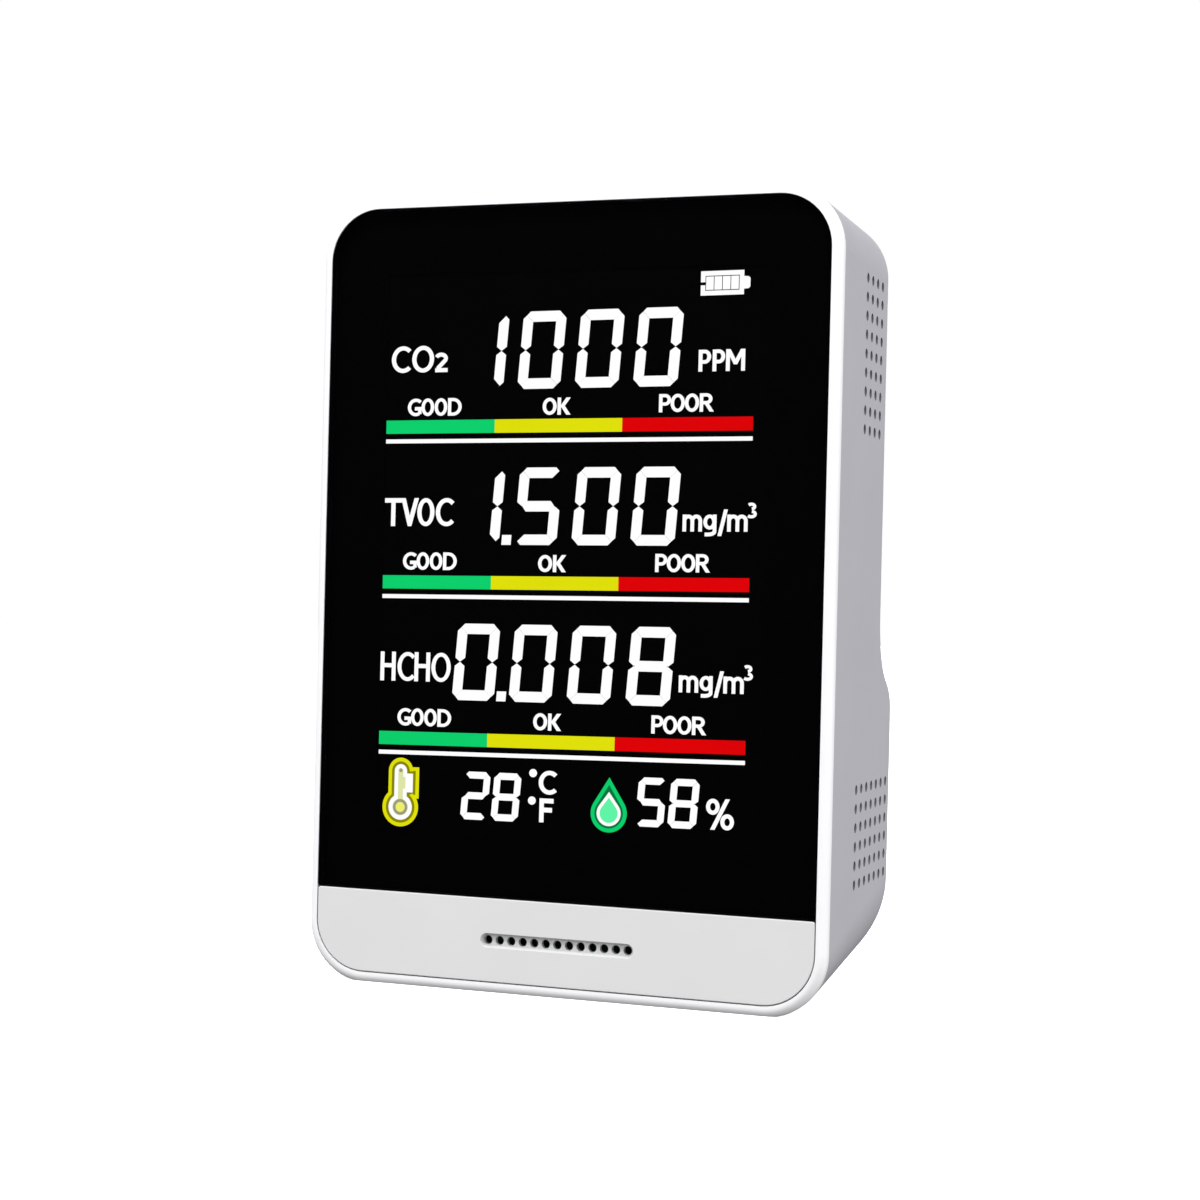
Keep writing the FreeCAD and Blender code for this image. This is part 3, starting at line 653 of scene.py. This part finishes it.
def row_words():
    """Ratings over the bars, names of the gases and units of the readings."""
    for row, middle in enumerate(ROW_BARS):
        good_shift, good_rise, ok_shift, ok_rise = WORD_SHIFTS[row]
        mesh = bmesh.new()
        add_word(mesh, "GOOD", GOOD_EDGES, middle + RATING_FOOT + good_rise,
                 middle + RATING_TOP + good_rise, RATING_STROKE, good_shift)
        add_word(mesh, "OK", OK_EDGES, middle + OK_FOOT + ok_rise,
                 middle + OK_TOP + ok_rise, OK_STROKE, ok_shift)
        add_word(mesh, "POOR", POOR_EDGES, middle + RATING_FOOT, middle + RATING_TOP, RATING_STROKE)
        finish_piece("scale_words_%d" % (row + 1), mesh, glow_white)
    top, middle, low = ROW_BARS
    mesh = bmesh.new()
    add_word(mesh, "CO", CO_EDGES, top + 8.5, top + 12.62, 0.69)
    add_letter(mesh, "2", -22.0, -19.95, top + 8.5, top + 11.5, 0.62)
    add_word(mesh, "TVOC", TVOC_EDGES, middle + 8.52, middle + 12.83, 0.69, 0.12)
    add_word(mesh, "HCHO", HCHO_EDGES, low + 8.55, low + 13.02, 0.63, 0.1)
    finish_piece("gas_names", mesh, glow_white)
    mesh = bmesh.new()
    add_word(mesh, "PPM", PPM_EDGES, top + 7.7, top + 10.9, 0.58, 0.08)
    for base in (middle + 7.82, low + 8.02):
        add_word(mesh, "mg", MG_EDGES, base, base + 2.5, 0.55)
        add_letter(mesh, "/", 23.75, 25.35, base - 0.65, base + 3.25, 0.56)
        add_letter(mesh, "m", 25.25, 28.35, base, base + 2.5, 0.55)
        add_letter(mesh, "3", 28.3, 29.7, base + 1.95, base + 4.25, 0.45)
    finish_piece("units", mesh, glow_white)


def battery_sign():
    """Battery symbol: a thick frame with a nick at its left, a tip and four cells with hairlines between."""
    left, right, low, high = 20.35, 26.95, 44.28, 47.85
    edge = 0.68
    hair = 0.13
    mesh = bmesh.new()
    inner_low, inner_high = low + edge, high - edge
    nick_low, nick_high = 45.78, 46.24
    tip_low, tip_high, tip_reach, tip_round = 45.1, 46.95, 0.95, 0.25
    add_prism(mesh, [(left, high), (right, high), (right, low), (left, low), (left, nick_low),
                     (left + edge, nick_low), (left + edge, inner_low), (right - edge, inner_low),
                     (right - edge, inner_high), (left + edge, inner_high), (left + edge, nick_high),
                     (left, nick_high)])
    end = right + tip_reach
    add_prism(mesh, [(right, tip_low), (end - tip_round, tip_low + 0.05), (end, tip_low + 0.05 + tip_round),
                     (end, tip_high - 0.05 - tip_round), (end - tip_round, tip_high - 0.05),
                     (right, tip_high)])
    first = left + edge + hair
    cell = (right - edge - first) / 4
    for index in range(4):
        x = first + index * cell
        add_prism(mesh, bar(x, inner_low + hair, x + cell - hair, inner_high - hair))
    finish_piece("battery_sign", mesh, glow_white)


def bottom_row():
    """Temperature and humidity readings with their units."""
    mesh = bmesh.new()
    add_number(mesh, "28", -16.13, -34.42, SMALL_PITCH, SMALL)
    add_number(mesh, "58", 12.06, -34.18, SMALL_PITCH, SMALL)
    finish_piece("reading_climate", mesh, glow_white)
    mesh = bmesh.new()
    add_letter(mesh, "C", -3.35, -0.4, -30.1, -26.5, 0.7)
    add_letter(mesh, "F", -3.15, -0.9, -34.3, -30.7, 0.7)
    add_letter(mesh, "%", 23.05, 27.35, -34.12, -29.58, 0.76)
    add_prism(mesh, circle(-4.3, -26.95, 0.62))
    add_prism(mesh, circle(-4.4, -31.1, 0.62))
    finish_piece("climate_units", mesh, glow_white)


def drop_outline(x, middle, radius, tip):
    """Drop shape: a round foot whose sides run straight up to a point."""
    lean = math.degrees(math.asin(radius / (tip - middle)))
    return arc(x, middle, radius, 180 - lean, 360 + lean, 40) + [(x, tip)]


def nested(name, outlines, materials, slots):
    """Shapes one inside another, each in its own material; the last one is filled."""
    for index, (outline, material, slot) in enumerate(zip(outlines, materials, slots)):
        mesh = bmesh.new()
        if index + 1 < len(outlines):
            add_ring(mesh, outline, outlines[index + 1])
        else:
            add_prism(mesh, outline)
        finish_piece("%s_%d" % (name, index + 1), mesh, material)


def drop_sign():
    """Humidity symbol: four drops one inside another."""
    x, middle = 7.93, -32.47
    outlines = [drop_outline(x, middle, radius, tip)
                for radius, tip in ((2.85, -27.12), (2.25, -28.22), (1.9, -29.27), (1.42, -30.12))]
    nested("drop_sign", outlines, (glow_green, glow_green_dim, glow_white, glow_pale_green),
           ("glow_green", "glow_green", "glow_white", "glow_green"))


def thermometer_outline(x, bulb_z, bulb, stem, top, flag_x, flag_low, flag_high):
    """Stem with a round top and a square flag at its right, which runs into a round bulb."""
    lean = math.degrees(math.asin(stem / bulb))
    points = arc(x, bulb_z, bulb, 90 + lean, 450 - lean, 28)
    points += [(x + stem, flag_low), (flag_x, flag_low), (flag_x, flag_high), (x + stem, flag_high)]
    return points + arc(x, top - stem, stem, 0, 180, 14)


def thermometer_sign():
    """Temperature symbol: four outlines one inside another, with a ring and a dot on the innermost."""
    x, bulb_z = -26.15, -33.03
    # Radii of bulb and stem, height of the top, then the flag's edge, foot and top.
    outlines = [thermometer_outline(x, bulb_z, *sizes) for sizes in (
        (3.0, 2.05, -25.43, -23.1, -31.63, -26.83),
        (2.42, 1.5, -26.0, -23.65, -31.08, -27.38),
        (1.98, 1.05, -26.43, -24.1, -30.73, -27.83),
        (1.3, 0.42, -27.03, -25.35, -30.18, -28.38))]
    nested("thermometer_sign", outlines, (glow_yellow, glow_yellow_dim, glow_white, glow_cream),
           ("glow_yellow", "glow_yellow", "glow_white", "glow_yellow"))
    over = ink_front - 0.01 * MM
    mesh = bmesh.new()
    add_ring(mesh, circle(x, bulb_z, 1.22), circle(x, bulb_z, 0.78), over, ink_front)
    add_prism(mesh, circle(x, -27.38, 0.3, 16), over, ink_front)
    finish_piece("thermometer_gap", mesh, glow_shade)
    mesh = bmesh.new()
    add_prism(mesh, circle(x, bulb_z, 0.72), over, ink_front)
    finish_piece("thermometer_bulb", mesh, glow_yellow_pale)


bars()
big_numbers()
row_words()
battery_sign()
bottom_row()
drop_sign()
thermometer_sign()


# ---- Black edge of the lens ----

LENS_LOW_CORNER, LENS_HIGH_CORNER = 0.4, 7.9      # radii of the lens's corners, in millimetres


def rounded_outline(half, low, high, low_radius, high_radius):
    """Rounded rectangle in millimetres, anticlockwise from its lower right corner."""
    corners = (
        (half - low_radius, low + low_radius, low_radius, -90),
        (half - high_radius, high - high_radius, high_radius, 0),
        (-half + high_radius, high - high_radius, high_radius, 90),
        (-half + low_radius, low + low_radius, low_radius, 180),
    )
    return [point for x, z, radius, start in corners for point in arc(x, z, radius, start, start + 90, 16)]


def lens_edge():
    """Black paint round the lens's rim, which hides the white wall beside it."""
    half = (lens_high[0] - lens_low[0]) / 2 / MM
    low = (lens_low[2] - screen_z) / MM
    high = (lens_high[2] - screen_z) / MM
    inner, outer = 0.01, 0.07                     # the paint's two faces, in millimetres off the lens
    front, back = lens_low[1] + 0.1 * MM, lens_high[1]
    mesh = bmesh.new()
    loops = []
    for grow, y in ((outer, front), (outer, back), (inner, back), (inner, front)):
        points = rounded_outline(half + grow, low - grow, high + grow,
                                 LENS_LOW_CORNER + grow, LENS_HIGH_CORNER + grow)
        loops.append([mesh.verts.new((x * MM, y, screen_z + z * MM)) for x, z in points])
    for near, far in zip(loops, loops[1:] + loops[:1]):
        for index in range(len(near)):
            following = (index + 1) % len(near)
            mesh.faces.new((near[index], near[following], far[following], far[index]))
    finish_piece("lens_edge_print", mesh, mask_black)


lens_edge()


# ---- Floor, lights, camera ----

FLOOR_REACH = 3.0                                 # from the middle to each side, in metres
DOME_LOW, DOME_HIGH = 0.0, 1.45                   # the dome's light, straight below and straight above
MIRRORED = 0.03                                   # how bright the surroundings look in polished faces
AIM = Vector((0, 0, 0.06))                        # what both lamps point at, the middle of the object
EYE = (0.11819, -0.33538, 0.0600)
EYE_TURN = (90.0, -1.365, 19.738)                 # in degrees
FOCAL_LENGTH, SENSOR_WIDTH = 66.9, 36.0           # in millimetres


def stage():
    """Pale floor, which glows so that it stays even and isn't mirrored in the object."""
    mesh = bmesh.new()
    corners = ((-1, -1), (1, -1), (1, 1), (-1, 1))
    mesh.faces.new([mesh.verts.new((x * FLOOR_REACH, y * FLOOR_REACH, ground)) for x, y in corners])
    data = bpy.data.meshes.new("floor")
    mesh.to_mesh(data)
    mesh.free()
    floor = bpy.data.objects.new("floor", data)
    bpy.context.scene.collection.objects.link(floor)
    n = Nodes("floor_pale")
    cloud = n.spread(n.noise(0.2, 2.0), 0.0, 1.0)
    n.link(n.blend(cloud, (0.86, 0.86, 0.87), (0.88, 0.88, 0.88)), n.shader.inputs["Base Color"])
    n.set(Roughness=0.9, Specular_IOR_Level=0.0, Emission_Color=(1, 1, 1, 1), Emission_Strength=0.9)
    data.materials.append(n.material)
    floor.visible_glossy = False
    floor.visible_diffuse = False


def area_light(name, place, size, power):
    """Round soft lamp that points at the object."""
    light = bpy.data.lights.new(name, "AREA")
    light.shape = "DISK"
    light.size = size
    light.energy = power
    holder = bpy.data.objects.new(name, light)
    holder.location = place
    holder.rotation_euler = (AIM - Vector(place)).to_track_quat("-Z", "Y").to_euler()
    bpy.context.scene.collection.objects.link(holder)


def world():
    """Soft dome, brighter overhead; white behind the object and dark in polished faces."""
    surroundings = bpy.data.worlds.new("studio")
    bpy.context.scene.world = surroundings
    surroundings.use_nodes = True
    tree = surroundings.node_tree
    tree.nodes.clear()
    output = tree.nodes.new("ShaderNodeOutputWorld")
    path = tree.nodes.new("ShaderNodeLightPath")
    place = tree.nodes.new("ShaderNodeTexCoord")
    split = tree.nodes.new("ShaderNodeSeparateXYZ")
    rise = tree.nodes.new("ShaderNodeMapRange")
    tree.links.new(place.outputs["Generated"], split.inputs[0])
    tree.links.new(split.outputs["Z"], rise.inputs["Value"])
    for key, value in (("From Min", -1), ("From Max", 1), ("To Min", DOME_LOW), ("To Max", DOME_HIGH)):
        rise.inputs[key].default_value = value

    def background(strength):
        node = tree.nodes.new("ShaderNodeBackground")
        node.inputs["Color"].default_value = (1, 1, 1, 1)
        node.inputs["Strength"].default_value = strength
        return node

    def choose(ray, otherwise, chosen):
        node = tree.nodes.new("ShaderNodeMixShader")
        tree.links.new(path.outputs[ray], node.inputs["Fac"])
        tree.links.new(otherwise.outputs[0], node.inputs[1])
        tree.links.new(chosen.outputs[0], node.inputs[2])
        return node

    dome = background(1.0)
    tree.links.new(rise.outputs["Result"], dome.inputs["Strength"])
    lit = choose("Is Glossy Ray", dome, background(MIRRORED))
    seen = choose("Is Camera Ray", lit, background(1.0))
    tree.links.new(seen.outputs[0], output.inputs["Surface"])


def camera():
    data = bpy.data.cameras.new("camera")
    data.sensor_width = SENSOR_WIDTH
    data.lens = FOCAL_LENGTH
    data.clip_start = 0.01
    data.clip_end = 20.0
    eye = bpy.data.objects.new("camera", data)
    eye.location = EYE
    eye.rotation_euler = [math.radians(angle) for angle in EYE_TURN]
    bpy.context.scene.collection.objects.link(eye)
    bpy.context.scene.camera = eye


stage()
world()
area_light("key", (-0.33, -0.50, 0.94), 0.45, 8.7)
area_light("side", (0.85, -0.12, 0.35), 0.6, 3.8)
camera()
bpy.context.scene.view_settings.view_transform = "Standard"
bpy.context.scene.view_settings.look = "None"
